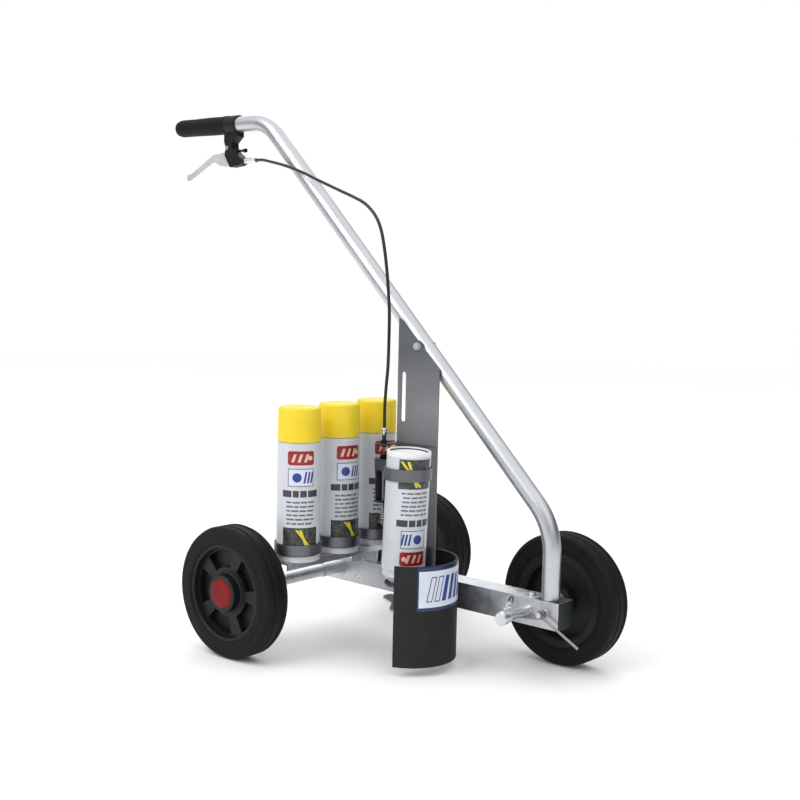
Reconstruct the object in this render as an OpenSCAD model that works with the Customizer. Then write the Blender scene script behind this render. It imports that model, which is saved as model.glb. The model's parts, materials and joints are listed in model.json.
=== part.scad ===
// Three-wheeled line striping machine with a lever-worked aerosol holder, a spray guard
// and a rack for spare cans. Millimetres, +X forward, +Y left, +Z up, ground at Z = 0.

/* [Wheels] */
// Diameter of each wheel over the tread
wheel_dia = 200; // [190:2:210]
// Width of each tyre
wheel_width = 46; // [44:1:48]
// Distance between the centres of the two rear wheels
track = 440; // [430:2:450]
// Distance from the rear axle to the front axle
wheelbase = 378; // [374:1:382]
// Diameter of the rear axle
rear_axle_dia = 20; // [18:1:20]

/* [Frame] */
// Width of the folded main beam
beam_width = 37; // [36:0.5:38]
// Height of the folded main beam
beam_height = 40; // [38:1:42]
// Sheet thickness of the beam
beam_sheet = 2; // [1.5:0.5:2.5]
// Width of the upright mast plate
mast_width = 82; // [80:1:84]
// Height adjustment slot: width
slot_width = 9; // [7:0.5:10]

/* [Handle] */
// Outside diameter of the handle tube
tube_dia = 27; // [25:0.5:27]
// Height of the grip axis above the ground
grip_height = 829.5; // [800:0.5:850]
// Length of the grip
grip_length = 131; // [125:1:150]
// Radius of the lower bend, on the tube axis
lower_bend = 100; // [80:5:120]
// Radius of the upper bend, on the tube axis
upper_bend = 70; // [60:5:80]

/* [Cans] */
// Radius of an aerosol can
can_r = 32.8; // [32.4:0.1:33]
// Distance between neighbouring spare cans
can_pitch = 86; // [82:1:88]
// Inside radius of a can ring
ring_r = 33.9; // [33.7:0.1:34.4]
// Height of a can ring
ring_height = 16; // [12:1:20]

/* [Spray guard] */
// Outside radius of the guard
guard_r = 70.5; // [68:0.5:70.5]
// Height of the guard
guard_height = 149; // [120:1:160]
// Thickness of the guard's rubber
guard_t = 4; // [3:0.5:5]

/* [Hidden] */
$fn = 64;
// moves the model so that its bounding box is centred on the origin
home_x = -8.5;
wheel_r = wheel_dia / 2;
rear_x = -16;
front_x = rear_x + wheelbase;
axle_r = rear_axle_dia / 2;
front_axle_r = 8;
bush_gap = 0.05;
rim_r = 72;
half_w = wheel_width / 2;
front_y = 107;

beam_y0 = 11;
beam_y1 = beam_y0 + beam_width;
beam_z1 = 118;
beam_z0 = beam_z1 - beam_height;
beam_x0 = -46;
beam_x1 = 415;
web_end = 372;

tube_r = tube_dia / 2;
tube_wall = 2.3;
tube_y = beam_y0 + beam_sheet + 14;
tube_x = 390;
tube_z0 = 86;
knee_z = 225;
lower_t = lower_bend * tan(22.5);
upper_t = upper_bend * tan(22.5);
elbow_x = tube_x - (grip_height - knee_z);
grip_x0 = -443;
grip_x1 = grip_x0 + grip_length;
grip_r = 15.5;

mast_x0 = 105;
mast_x1 = mast_x0 + mast_width;
mast_t = 2.5;
mast_y = beam_y0 - mast_t;
mast_bolt = [144, 471];
slot_x = 117;
slot_z = [352, 430];
base_bolts = [[122, 96], [168, 96]];

can_neck = 177;
spare_x = 50.5;
spare_y = [for (i = [0 : 2]) -151 + i * can_pitch];
shelf_z = 150;
ring_z = 161;

use_x = 189.5;
use_y = -60;
use_base = 322;
use_lean = 2.25;
tip_down = can_neck + 44;
tip_x = use_x - tip_down * sin(use_lean);
tip_z = use_base - tip_down * cos(use_lean);
clip_z = 279;
clip_h = 18;
clip_x = use_x - 34 * sin(use_lean);
clip_r = 33.8;

rod_x = 107;
rod_y = -23;
rod_r = 2.5;
rod_jog = 30;
foot_x = rod_x + rod_jog;
guide_z = 228;
plate_z = 78;
pivot_x = 228;
pivot_z = 79.5;

guard_x = 198;
guard_y = -60;
guard_z = 14;
guard_a0 = -70;
guard_a1 = 96;
guard_bolts = [[200, 90], [200, 106]];

lever_pivot = [-307, 790];
wire_z = 767;

// cable route: brake lever to the carrier, round figures
cable_pts = [
    [-241.4, 27, 767], [-222, 24, 766.5], [-194, 16, 762], [-157, 8, 755], [-122, 4, 746],
    [-92, 0, 737], [-63, -4, 727], [-10, -8, 709], [25, -10, 697], [48, -11, 687],
    [69, -12, 670], [82, -12, 648], [91, -13, 618], [98, -14, 583], [102, -15, 557],
    [107, -17, 522], [109, -19, 474], [109, -20, 437], [108, -22, 407], [107, -23, 377],
    [107, -23, 341.5]
];
cable_r = 2.5;
cable_n = 10;
cable_steps = 76;

// ---------- helpers ----------
module home() {
    translate([home_x, 0, 0]) children();
}

module rod_y(x, z, r, y0, y1) {
    translate([x, y0, z]) rotate([-90, 0, 0]) cylinder(h = y1 - y0, r = r);
}

module tube_y_ring(x, z, r0, r1, y0, y1) {
    difference() {
        rod_y(x, z, r1, y0, y1);
        rod_y(x, z, r0, y0 - 1, y1 + 1);
    }
}

module bar_x(y, z, r, x0, x1) {
    translate([x0, y, z]) rotate([0, 90, 0]) cylinder(h = x1 - x0, r = r);
}

module rod_z(x, y, r, z0, z1) {
    translate([x, y, z0]) cylinder(h = z1 - z0, r = r);
}

module box(lo, hi) {
    translate(lo) cube(hi - lo);
}

module plate_xz(pts, y0, y1) {
    translate([0, y1, 0]) rotate([90, 0, 0]) linear_extrude(y1 - y0) polygon(pts);
}

module hex_y(x, z, across, y0, y1) {
    translate([x, y0, z]) rotate([-90, 0, 0]) cylinder(h = y1 - y0, d = across / cos(30), $fn = 6);
}

module hex_z(x, y, across, z0, z1) {
    translate([x, y, z0]) cylinder(h = z1 - z0, d = across / cos(30), $fn = 6);
}

module spin_y(x, y, z, flip) {
    translate([x, y, z]) rotate([flip ? 90 : -90, 0, 0]) children();
}

// ---------- wheels: profile axis points to the outer side of the wheel ----------
module tyre_shape() {
    w = half_w;
    r = wheel_r;
    side = [
        [rim_r, 3], [rim_r + 3, 0], [r - 17, 0], [r - 15, 1.2], [r - 6, 1.6], [r - 2, 4.4],
        [r, 9]];
    rotate_extrude($fn = 128) polygon(concat(
        [for (p = side) [p[0], p[1] - w]],
        [for (y = [-8, 8]) each [
            [r, y - 4.5], [r - 1.8, y - 2.5], [r - 1.8, y + 2.5], [r, y + 4.5]]],
        [for (i = [len(side) - 1 : -1 : 0]) [side[i][0], w - side[i][1]]]));
}

module rim_shape(bore) {
    difference() {
        rotate_extrude($fn = 128) polygon([
            [58, -18], [62, -20], [rim_r, -20], [rim_r, 20], [69, 20], [68, 19],
            [67, 11], [31, 11], [28.6, 12.4], [28, 24], [27, 25], [22.7, 25],
            [22.7, 14], [bore, 14], [bore, -21], [24, -21], [25, -5], [57, -5]
        ]);
        for (a = [0 : 72 : 288]) rotate([0, 0, a + 11]) translate([0, 0, 1])
            rotate_extrude(angle = 50) translate([38, 0]) square([26, 11]);
    }
}

module hub_cap_shape() {
    rotate_extrude() polygon([
        [0, 27], [17, 26.8], [21.4, 26], [22.7, 24.6], [22.7, 19], [21, 19],
        [21, 24], [0, 25]
    ]);
}

module bush_shape(r0, r1) {
    rotate_extrude() polygon([
        [r0, -22.5], [r1 + 4, -22.5], [r1 + 4, -21], [r1, -21], [r1, 14], [r0, 14]
    ]);
}

module wheel_right_tyre() {
    color([0.09, 0.09, 0.10]) spin_y(rear_x, -track / 2, wheel_r, true) tyre_shape();
}

module wheel_right_rim() {
    color([0.12, 0.12, 0.13]) spin_y(rear_x, -track / 2, wheel_r, true) rim_shape(axle_r + 3);
}

module wheel_right_bush() {
    color([0.85, 0.85, 0.82]) spin_y(rear_x, -track / 2, wheel_r, true)
        bush_shape(axle_r + bush_gap, axle_r + 3);
}

module wheel_right_cap() {
    color([0.60, 0.11, 0.10]) spin_y(rear_x, -track / 2, wheel_r, true) hub_cap_shape();
}

module wheel_left_tyre() {
    color([0.09, 0.09, 0.10]) spin_y(rear_x, track / 2, wheel_r, false) tyre_shape();
}

module wheel_left_rim() {
    color([0.12, 0.12, 0.13]) spin_y(rear_x, track / 2, wheel_r, false) rim_shape(axle_r + 3);
}

module wheel_left_bush() {
    color([0.85, 0.85, 0.82]) spin_y(rear_x, track / 2, wheel_r, false)
        bush_shape(axle_r + bush_gap, axle_r + 3);
}

module wheel_left_cap() {
    color([0.60, 0.11, 0.10]) spin_y(rear_x, track / 2, wheel_r, false) hub_cap_shape();
}

module wheel_front_tyre() {
    color([0.09, 0.09, 0.10]) spin_y(front_x, front_y, wheel_r, false) tyre_shape();
}

module wheel_front_rim() {
    color([0.12, 0.12, 0.13]) spin_y(front_x, front_y, wheel_r, false)
        rim_shape(front_axle_r + 3);
}

module wheel_front_bush() {
    color([0.85, 0.85, 0.82]) spin_y(front_x, front_y, wheel_r, false)
        bush_shape(front_axle_r + bush_gap, front_axle_r + 3);
}

module wheel_front_cap() {
    color([0.60, 0.11, 0.10]) spin_y(front_x, front_y, wheel_r, false) hub_cap_shape();
}

// ---------- main frame ----------
module beam() {
    s = beam_sheet;
    color([0.74, 0.75, 0.77]) difference() {
        union() {
            box([beam_x0, beam_y0, beam_z0], [beam_x1, beam_y0 + s, beam_z1]);
            box([beam_x0, beam_y1 - s, beam_z0], [beam_x1, beam_y1, beam_z1]);
            box([beam_x0, beam_y0, beam_z1 - s], [web_end, beam_y1, beam_z1]);
            box([beam_x1 - s, beam_y0, beam_z0], [beam_x1, beam_y1, beam_z1]);
            box([beam_x0, beam_y0, beam_z0], [beam_x0 + s, beam_y1, beam_z1]);
        }
        rod_y(rear_x, wheel_r, axle_r, beam_y0 - 1, beam_y1 + 1);
        rod_y(front_x, wheel_r, front_axle_r, beam_y0 - 1, beam_y1 + 1);
        rod_y(tube_x, 100, 3, beam_y0 - 1, beam_y1 + 1);
        for (x = [23, 46]) rod_y(x, 90, 2.5, beam_y0 - 1, beam_y0 + s + 1);
        for (p = concat(base_bolts, guard_bolts))
            rod_y(p[0], p[1], 3, beam_y0 - 1, beam_y0 + s + 1);
        for (x = [40, 61]) rod_z(x, 29.5, 2.5, beam_z1 - s - 1, beam_z1 + 1);
        rod_z(357, 27, 3, beam_z1 - s - 1, beam_z1 + 1);
        rod_y(331, 110, 5.6, beam_y0 - 1, beam_y0 + s + 1);
    }
}

module tube_section() {
    difference() {
        circle(tube_r);
        circle(tube_r - tube_wall);
    }
}

// a straight length and a 45 degree bend; children carry on from the end of the bend
module run_then_bend(length, bend) {
    linear_extrude(length) tube_section();
    translate([-bend, 0, length]) rotate([90, 0, 0]) {
        rotate_extrude(angle = 45) translate([bend, 0]) tube_section();
        rotate(45) translate([bend, 0, 0]) rotate([-90, 0, 0]) children();
    }
}

module handle_tube() {
    diagonal = (grip_height - knee_z) * sqrt(2) - lower_t - upper_t;
    color([0.80, 0.81, 0.83]) difference() {
        translate([tube_x, tube_y, tube_z0])
            run_then_bend(knee_z - lower_t - tube_z0, lower_bend)
                run_then_bend(diagonal, upper_bend)
                    linear_extrude(elbow_x - upper_t - grip_x0 - 3) tube_section();
        rod_y(tube_x, 100, 3, tube_y - 20, tube_y + 20);
        rod_y(mast_bolt[0], mast_bolt[1], 3, tube_y - 20, tube_y + 20);
    }
}

module handle_grip() {
    r = grip_r;
    n = grip_length;
    color([0.07, 0.07, 0.08]) translate([grip_x0, tube_y, grip_height]) rotate([0, 90, 0])
        rotate_extrude() polygon([
            [0, 0], [11.4, 0], [13, 1], [r - 0.6, 8], [r - 0.3, 13],
            [r - 0.4, 0.35 * n], [r + 0.3, 0.7 * n], [r, n - 9], [r + 0.9, n - 6.5],
            [r + 0.9, n - 1.4], [r, n], [tube_r, n], [tube_r, 3], [0, 3]
        ]);
}

module mast() {
    x0 = mast_x0;
    x1 = mast_x1;
    b = mast_bolt;
    color([0.60, 0.62, 0.64]) difference() {
        union() {
            plate_xz([[x0, beam_z0 + 4], [x1, beam_z0 + 4], [x1, 438], [x0, 513]],
                mast_y, beam_y0);
            rod_y(b[0], b[1], 9, mast_y, beam_y0);
            box([x0, mast_y, beam_z1 + 0.5], [x0 + mast_t, beam_y0 + 17, 345]);
        }
        rod_y(b[0], b[1], 3, mast_y - 1, beam_y0 + 1);
        for (z = slot_z) rod_y(slot_x, z + (z < 400 ? 1 : -1) * slot_width / 2, slot_width / 2,
            mast_y - 1, beam_y0 + 1);
        box([slot_x - slot_width / 2, mast_y - 1, slot_z[0] + slot_width / 2],
            [slot_x + slot_width / 2, beam_y0 + 1, slot_z[1] - slot_width / 2]);
        for (p = base_bolts) rod_y(p[0], p[1], 3, mast_y - 1, beam_y0 + 1);
        for (z = [160, 240]) box([142, mast_y - 1, z], [149, beam_y0 + 1, z + 64]);
    }
}

module mast_bolt_set() {
    b = mast_bolt;
    s = [mast_y, tube_y - tube_r];
    color([0.82, 0.83, 0.85]) union() {
        rod_y(b[0], b[1], 3, s[0] - 1, tube_y + tube_r + 8);
        hex_y(b[0], b[1], 10, s[0] - 5, s[0] - 1);
        rod_y(b[0], b[1], 6.2, s[0] - 1.2, s[0]);
        rod_y(b[0], b[1], 6.5, beam_y0, s[1]);
        rod_y(b[0], b[1], 6.2, tube_y + tube_r, tube_y + tube_r + 1.4);
        hex_y(b[0], b[1], 10, tube_y + tube_r + 1.4, tube_y + tube_r + 6);
    }
}

module mast_base_bolts() {
    color([0.82, 0.83, 0.85]) for (p = base_bolts) {
        rod_y(p[0], p[1], 3, mast_y - 1, beam_y0 + beam_sheet + 7);
        rod_y(p[0], p[1], 6, mast_y - 2.2, mast_y);
        hex_y(p[0], p[1], 10, beam_y0 + beam_sheet, beam_y0 + beam_sheet + 5);
    }
}

module tube_bolt() {
    color([0.82, 0.83, 0.85]) union() {
        rod_y(tube_x, 100, 3, -3.6, beam_y1 + 8);
        hex_y(tube_x, 100, 8, -3.6, -0.2);
        tube_y_ring(tube_x, 100, 2.9, 6, 7.6, beam_y0);
        hex_y(tube_x, 100, 10, beam_y1, beam_y1 + 5);
    }
}

module web_screw() {
    color([0.82, 0.83, 0.85]) union() {
        rod_z(357, 27, 3, beam_z1 - 9, beam_z1);
        translate([357, 27, beam_z1]) rotate_extrude() polygon([
            [0, 0], [6.5, 0], [6.5, 1.2], [5.2, 1.2], [4.6, 3.2], [3, 4.4], [0, 4.6]]);
        hex_z(357, 27, 10, beam_z1 - beam_sheet - 5, beam_z1 - beam_sheet);
    }
}

module rear_axle() {
    e = track / 2 + 17;
    color([0.76, 0.77, 0.79]) difference() {
        rod_y(rear_x, wheel_r, axle_r, -e, e);
        rod_y(rear_x, wheel_r, axle_r - 3, -e - 1, e + 1);
    }
}

module axle_sleeves() {
    color([0.68, 0.69, 0.71]) union() {
        tube_y_ring(rear_x, wheel_r, axle_r, axle_r + 1.6, -30, beam_y0 - 2);
        tube_y_ring(rear_x, wheel_r, axle_r, axle_r + 5, beam_y0 - 2, beam_y0);
        tube_y_ring(rear_x, wheel_r, axle_r, axle_r + 1.6, beam_y1 + 2, beam_y1 + 41);
        tube_y_ring(rear_x, wheel_r, axle_r, axle_r + 5, beam_y1, beam_y1 + 2);
    }
}

module axle_collars() {
    inner = track / 2 - 22.7;
    outer = track / 2 + 14.3;
    color([0.55, 0.56, 0.58]) for (s = [0, 1]) mirror([0, s, 0]) {
        tube_y_ring(rear_x, wheel_r, axle_r, axle_r + 4.5, inner - 10, inner);
        tube_y_ring(rear_x, wheel_r, axle_r, axle_r + 5, outer, outer + 1.6);
    }
}

module front_axle() {
    color([0.78, 0.79, 0.81]) translate([front_x, 0, wheel_r]) rotate([-90, 0, 0])
        rotate_extrude() polygon([
            [0, -57], [8.5, -57], [10, -55.5], [10, -45.5], [8.6, -44], [6.5, -44],
            [6.5, 9], [front_axle_r, 9], [front_axle_r, front_y + 17], [0, front_y + 17]]);
}

module front_spacer() {
    color([0.55, 0.56, 0.58]) union() {
        tube_y_ring(front_x, wheel_r, front_axle_r, front_axle_r + 3, beam_y1,
            front_y - 22.7);
        tube_y_ring(front_x, wheel_r, front_axle_r, front_axle_r + 6, front_y + 14.3,
            front_y + 15.9);
    }
}

// ---------- rack for the spare cans ----------
module shelf() {
    y0 = spare_y[0] - 39;
    y1 = spare_y[2] + 41;
    color([0.70, 0.71, 0.73]) difference() {
        union() {
            box([32, y0, shelf_z - 2], [69, y1, shelf_z]);
            box([67, y0, shelf_z - 10], [69, y1, shelf_z]);
            box([32, y0, shelf_z - 10], [34, y1, shelf_z]);
        }
        for (x = [44, 57]) rod_z(x, 29.5, 2.5, shelf_z - 3, shelf_z + 1);
    }
}

module shelf_bracket() {
    z0 = beam_z1;
    z1 = shelf_z - 2;
    color([0.66, 0.67, 0.69]) union() {
        box([34, -14, z0 + 1], [36, 46, z1]);
        difference() {
            box([36, 13, z0], [65, 46, z1]);
            box([35, 15, z0 + 2], [66, 44, z1 - 2]);
            for (x = [40, 61]) rod_z(x, 29.5, 2.5, z0 - 1, z0 + 3);
            for (x = [44, 57]) rod_z(x, 29.5, 2.5, z1 - 3, z1 + 1);
        }
        for (x = [40, 61]) {
            rod_z(x, 29.5, 2.5, z0 - 7, z0 + 2);
            hex_z(x, 29.5, 8, z0 + 2, z0 + 5.4);
            hex_z(x, 29.5, 8, z0 - beam_sheet - 4, z0 - beam_sheet);
        }
        for (x = [44, 57]) {
            rod_z(x, 29.5, 2.5, z1 - 8, z1 + 2);
            hex_z(x, 29.5, 8, z1 - 6, z1 - 2);
        }
    }
}

module can_ring(y) {
    x = spare_x;
    color([0.52, 0.53, 0.55]) difference() {
        union() {
            rod_z(x, y, ring_r + 2, ring_z, ring_z + ring_height);
            box([x - ring_r - 2, y - 8, shelf_z - 12], [x - ring_r, y + 8, ring_z + ring_height]);
            box([x - ring_r - 2, y - 8, shelf_z - 12], [34, y + 8, shelf_z - 10]);
        }
        rod_z(x, y, ring_r, ring_z - 1, ring_z + ring_height + 1);
    }
}

module can_ring_1() {
    can_ring(spare_y[0]);
}

module can_ring_2() {
    can_ring(spare_y[1]);
}

module can_ring_3() {
    can_ring(spare_y[2]);
}

// ---------- aerosol cans ----------
module can_shell() {
    r = can_r;
    n = can_neck;
    rotate_extrude($fn = 96) polygon([
        [0, 9], [12, 8.2], [21, 6], [26, 4], [29, 3.4], [29.4, 0.6], [30, 0], [31.8, 0],
        [r + 0.3, 0.8], [r + 0.3, 4.6], [r, 6], [r, n - 1], [r - 0.4, n + 1],
        [30.8, n + 3], [30.8, n + 8], [31.4, n + 8.8], [31.4, n + 11], [30.4, n + 12],
        [27, n + 15], [22.5, n + 20], [17.8, n + 24], [16.4, n + 25.6], [16.6, n + 27],
        [16.6, n + 30.4], [15.6, n + 31.4], [13.8, n + 31.4], [12.8, n + 30],
        [12.6, n + 25], [1.9, n + 25], [1.9, n + 17], [4.5, n + 17], [4.5, n + 23.4],
        [12.8, n + 23.4], [16.2, n + 22.9], [21.6, n + 18.8], [25.9, n + 14],
        [29.4, n + 11], [29.4, n + 2], [r - 1.4, n - 3], [r - 1.4, 8], [30.6, 6.4],
        [28.8, 5], [25.7, 5.4], [21.2, 7.4], [12.2, 9.6], [0, 10.4]
    ]);
}

// the button on its stem: profile from the valve cup floor outwards
module button_shape(z) {
    rotate_extrude() polygon([
        [0, z - 7], [1.8, z - 7], [1.8, z + 3.4], [7, z + 3.4], [7, z + 11],
        [5, z + 12.4], [3.4, z + 12.4], [3.4, z + 18], [2.6, z + 19], [0, z + 19]
    ]);
}

module cap_shell() {
    rotate_extrude($fn = 96) polygon([
        [0, 51], [27.6, 51], [30.4, 50], [31.9, 47.6], [32.6, 0], [31.9, 0], [31.2, 47],
        [29.6, 49], [27, 49.8], [0, 49.8]
    ]);
}

module spare(y) {
    translate([spare_x, y, shelf_z + 0.1]) children();
}

module spare_can_1() {
    color([0.82, 0.83, 0.84]) spare(spare_y[0]) can_shell();
}

module spare_can_2() {
    color([0.82, 0.83, 0.84]) spare(spare_y[1]) can_shell();
}

module spare_can_3() {
    color([0.82, 0.83, 0.84]) spare(spare_y[2]) can_shell();
}

module spare_button_1() {
    color([0.90, 0.90, 0.88]) spare(spare_y[0]) button_shape(can_neck + 25);
}

module spare_button_2() {
    color([0.90, 0.90, 0.88]) spare(spare_y[1]) button_shape(can_neck + 25);
}

module spare_button_3() {
    color([0.90, 0.90, 0.88]) spare(spare_y[2]) button_shape(can_neck + 25);
}

module spare_cap_1() {
    color([0.93, 0.80, 0.15]) spare(spare_y[0]) translate([0, 0, can_neck + 3.3]) cap_shell();
}

module spare_cap_2() {
    color([0.93, 0.80, 0.15]) spare(spare_y[1]) translate([0, 0, can_neck + 3.3]) cap_shell();
}

module spare_cap_3() {
    color([0.93, 0.80, 0.15]) spare(spare_y[2]) translate([0, 0, can_neck + 3.3]) cap_shell();
}

module inverted() {
    translate([use_x, use_y, use_base]) rotate([0, 180 + use_lean, 0]) children();
}

module use_can() {
    color([0.80, 0.81, 0.82]) inverted() can_shell();
}

module use_button() {
    color([0.90, 0.90, 0.88]) inverted() button_shape(can_neck + 25);
}

// ---------- height-adjustable can carrier ----------
module carrier() {
    y1 = mast_y - 0.2;
    y0 = y1 - 2;
    x0 = mast_x0;
    x1 = mast_x1;
    z0 = 128;
    z1 = 320;
    color([0.50, 0.51, 0.53]) difference() {
        union() {
            box([x0, y0, z0], [x1, y1, z1]);
            box([x1 - 2, -24, z0], [x1, y1, z1]);
            box([100, y0, guide_z], [x0 + 1, y1, 280]);
            box([100, -34, guide_z], [102, y1, clip_z]);
            box([100, -34, guide_z], [115, -12, guide_z + 2.5]);
            box([x0, -12, z1 - 2], [x1, y1, z1]);
            box([97, -32, z1 - 2], [118, -11, z1]);
        }
        rod_z(rod_x, rod_y, rod_r + 0.05, guide_z - 1, guide_z + 4);
        rod_z(rod_x, rod_y, 3, z1 - 3, z1 + 1);
        for (z = [190, 270]) rod_y(145.5, z, 3, y0 - 1, y1 + 1);
    }
}

module carrier_bolts() {
    color([0.82, 0.83, 0.85]) for (z = [190, 270]) {
        rod_y(145.5, z, 3, 3, 17);
        hex_y(145.5, z, 10, 2, 6.3);
        tube_y_ring(145.5, z, 3, 6.4, beam_y0 + 0.2, beam_y0 + 1.4);
        hex_y(145.5, z, 10, beam_y0 + 1.4, beam_y0 + 5.4);
    }
}

module can_clip() {
    z1 = clip_z + clip_h;
    r = clip_r;
    color([0.46, 0.47, 0.49]) difference() {
        union() {
            rod_z(clip_x, use_y, r + 2, clip_z, z1);
            box([100, -36, clip_z], [166, -34, z1]);
            box([100, -36, clip_z], [102, -31, z1]);
            box([mast_x1 - 4, -30, clip_z], [mast_x1, -24, z1]);
        }
        rod_z(clip_x, use_y, r, clip_z - 1, z1 + 1);
    }
}

module can_seat() {
    x1 = mast_x1;
    color([0.50, 0.51, 0.53]) difference() {
        union() {
            box([x1 - 2, -24, 74], [x1, -2, 128]);
            box([x1 - 2, -24, 70], [235, -22, 121]);
            inverted() translate([0, 0, can_neck + 24.1]) cylinder(h = 3, r = 27);
            box([168, -40, 118], [202, -22, 121]);
            rod_y(pivot_x, pivot_z, 3, -76, -22);
            rod_y(pivot_x, pivot_z, 5.2, -78, -76);
        }
        inverted() translate([0, 0, can_neck + 20]) cylinder(h = 10, r = 18);
    }
}

module cable_adjuster() {
    z = 320;
    color([0.30, 0.30, 0.31]) difference() {
        union() {
            rod_z(rod_x, rod_y, 3, z - 5, z + 14);
            hex_z(rod_x, rod_y, 9, z, z + 5);
            hex_z(rod_x, rod_y, 9, z - 5, z - 2);
            rod_z(rod_x, rod_y, 4.2, z + 13, z + 21);
        }
        rod_z(rod_x, rod_y, 1.2, z - 6, z + 21.5);
    }
}

// ---------- pull rod, spring and nozzle lever ----------
module pull_clevis() {
    color([0.16, 0.16, 0.17]) difference() {
        union() {
            box([rod_x - 4, rod_y - 4, 289], [rod_x + 4, rod_y + 4, 303]);
            rod_y(rod_x, 298, 2.6, rod_y - 6.5, rod_y + 4);
        }
        rod_z(rod_x, rod_y, rod_r, 288, 294);
        rod_z(rod_x, rod_y, 0.9, 293, 304);
    }
}

module pull_rod() {
    color([0.62, 0.63, 0.65]) union() {
        rod_z(rod_x, rod_y, 0.9, 294, 331);
        rod_z(rod_x, rod_y, 6, 196, 199);
        translate([rod_x, rod_y, 195]) {
            cylinder(h = 99, r = rod_r);
            sphere(rod_r + 0.3);
            rotate([0, 135, 0]) {
                cylinder(h = rod_jog * sqrt(2), r = rod_r);
                translate([0, 0, rod_jog * sqrt(2)]) {
                    sphere(rod_r + 0.3);
                    rotate([0, 45, 0]) cylinder(h = 195 - rod_jog - plate_z + 7, r = rod_r);
                }
            }
        }
        hex_z(foot_x, rod_y, 9, plate_z - 5.6, plate_z - 0.6);
    }
}

module nozzle_lever() {
    z = plate_z;
    color([0.66, 0.67, 0.68]) difference() {
        union() {
            translate([0, 0, z]) linear_extrude(3) polygon([
                [119, -32], [112, -19], [113, -9], [118, -7], [145, -13], [176, -32],
                [204, -40], [pivot_x, -42], [pivot_x, -72], [204, -76], [172, -77],
                [150, -47]]);
            rod_y(pivot_x, pivot_z, 5, -74, -40);
            rod_z(tip_x, use_y, 6.5, z, tip_z - 0.5);
        }
        rod_y(pivot_x, pivot_z, 3.05, -75, -39);
        rod_z(tip_x, use_y, 2.4, z - 1, tip_z);
        for (d = [-0.6, 0, 0.6]) rod_z(foot_x + d, rod_y, rod_r + 0.3, z - 1, z + 4);
    }
}

// ---------- swept cords ----------
function unit(v) = v / norm(v);
function spline(p, i, t) = let (
    a = p[max(i - 1, 0)], b = p[i], c = p[i + 1], d = p[min(i + 2, len(p) - 1)])
    0.5 * (2 * b + (c - a) * t + (2 * a - 5 * b + 4 * c - d) * t * t
    + (3 * b - a - 3 * c + d) * t * t * t);
function along(p, n) = [for (k = [0 : n]) let (
    u = k * (len(p) - 1) / n, i = min(floor(u), len(p) - 2)) spline(p, i, u - i)];
function tangent(c, i) = unit(c[min(i + 1, len(c) - 1)] - c[max(i - 1, 0)]);
function ring_pts(c, i, r, n, up) = let (
    t = tangent(c, i), a = unit(cross(t, up)), b = cross(t, a))
    [for (j = [0 : n - 1]) c[i] + r * (cos(360 * j / n) * a + sin(360 * j / n) * b)];

module sweep(c, r, n, up) {
    m = len(c);
    polyhedron(
        points = [for (i = [0 : m - 1]) each ring_pts(c, i, r, n, up)],
        faces = concat(
            [[for (j = [0 : n - 1]) j]],
            [for (i = [0 : m - 2]) for (j = [0 : n - 1]) each [
                [i * n + j, (i + 1) * n + j, (i + 1) * n + (j + 1) % n],
                [i * n + j, (i + 1) * n + (j + 1) % n, i * n + (j + 1) % n]]],
            [[for (j = [n - 1 : -1 : 0]) (m - 1) * n + j]]),
        convexity = 10);
}

module cable() {
    color([0.10, 0.10, 0.11]) sweep(along(cable_pts, cable_steps), cable_r, cable_n, [0, 1, 0]);
}

module return_spring() {
    z0 = 200;
    z1 = guide_z - 1;
    turns = 7;
    c = [for (k = [0 : turns * 16]) [
        rod_x + 4.6 * cos(k * 22.5), rod_y + 4.6 * sin(k * 22.5),
        z0 + (z1 - z0) * k / (turns * 16)]];
    color([0.70, 0.71, 0.73]) sweep(c, 0.7, 8, [0, 0, 1]);
}

// ---------- brake lever ----------
module lever_bracket() {
    y0 = tube_y - 8;
    y1 = tube_y + 8;
    z = grip_height;
    x0 = grip_x1 + 0.2;
    color([0.08, 0.08, 0.09]) difference() {
        union() {
            bar_x(tube_y, z, tube_r + 2.4, x0, -284);
            plate_xz([[x0, 822], [x0, 812.6], [-316, 812.6], [-316, 801], [-311.5, 789],
                [-315, 778], [-301, 756.5], [-278, 759], [-270, 764], [-269.5, 768],
                [-274, 772], [-288, 781.5], [-295, 789], [-296, 797.5], [-290, 802.5],
                [-282, 809], [-283, 822]], y0, y1);
        }
        bar_x(tube_y, z, tube_r, -330, -260);
        box([-330, tube_y - 4.5, 750], [-300.4, tube_y + 4.5, 803]);
        bar_x(tube_y, wire_z, 1.2, -302, -262);
        bar_x(tube_y, wire_z, 3, -279, -260);
        bar_x(tube_y, 784.5, 2, -302, -280);
        rod_y(lever_pivot[0], lever_pivot[1], 2.5, y0 - 1, y1 + 1);
    }
}

module lever_screws() {
    p = lever_pivot;
    color([0.45, 0.46, 0.48]) union() {
        rod_y(p[0], p[1], 2.5, tube_y - 8, tube_y + 8);
        rod_y(p[0], p[1], 3.8, tube_y - 9.6, tube_y - 8);
        rod_y(p[0], p[1], 3.8, tube_y + 8, tube_y + 9.6);
    }
}

module stop_screw() {
    color([0.06, 0.06, 0.07]) union() {
        bar_x(tube_y, 784.5, 2, -299.5, -270);
        bar_x(tube_y, 784.5, 3.6, -272, -268);
    }
}

module barrel_adjuster() {
    color([0.72, 0.73, 0.75]) difference() {
        union() {
            bar_x(tube_y, wire_z, 3, -279, -262);
            bar_x(tube_y, wire_z, 5, -268, -264);
            bar_x(tube_y, wire_z, 4.8, -262, -256);
            bar_x(tube_y, wire_z, 4, -256, -242);
        }
        bar_x(tube_y, wire_z, 1.2, -280, -241);
    }
}

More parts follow.
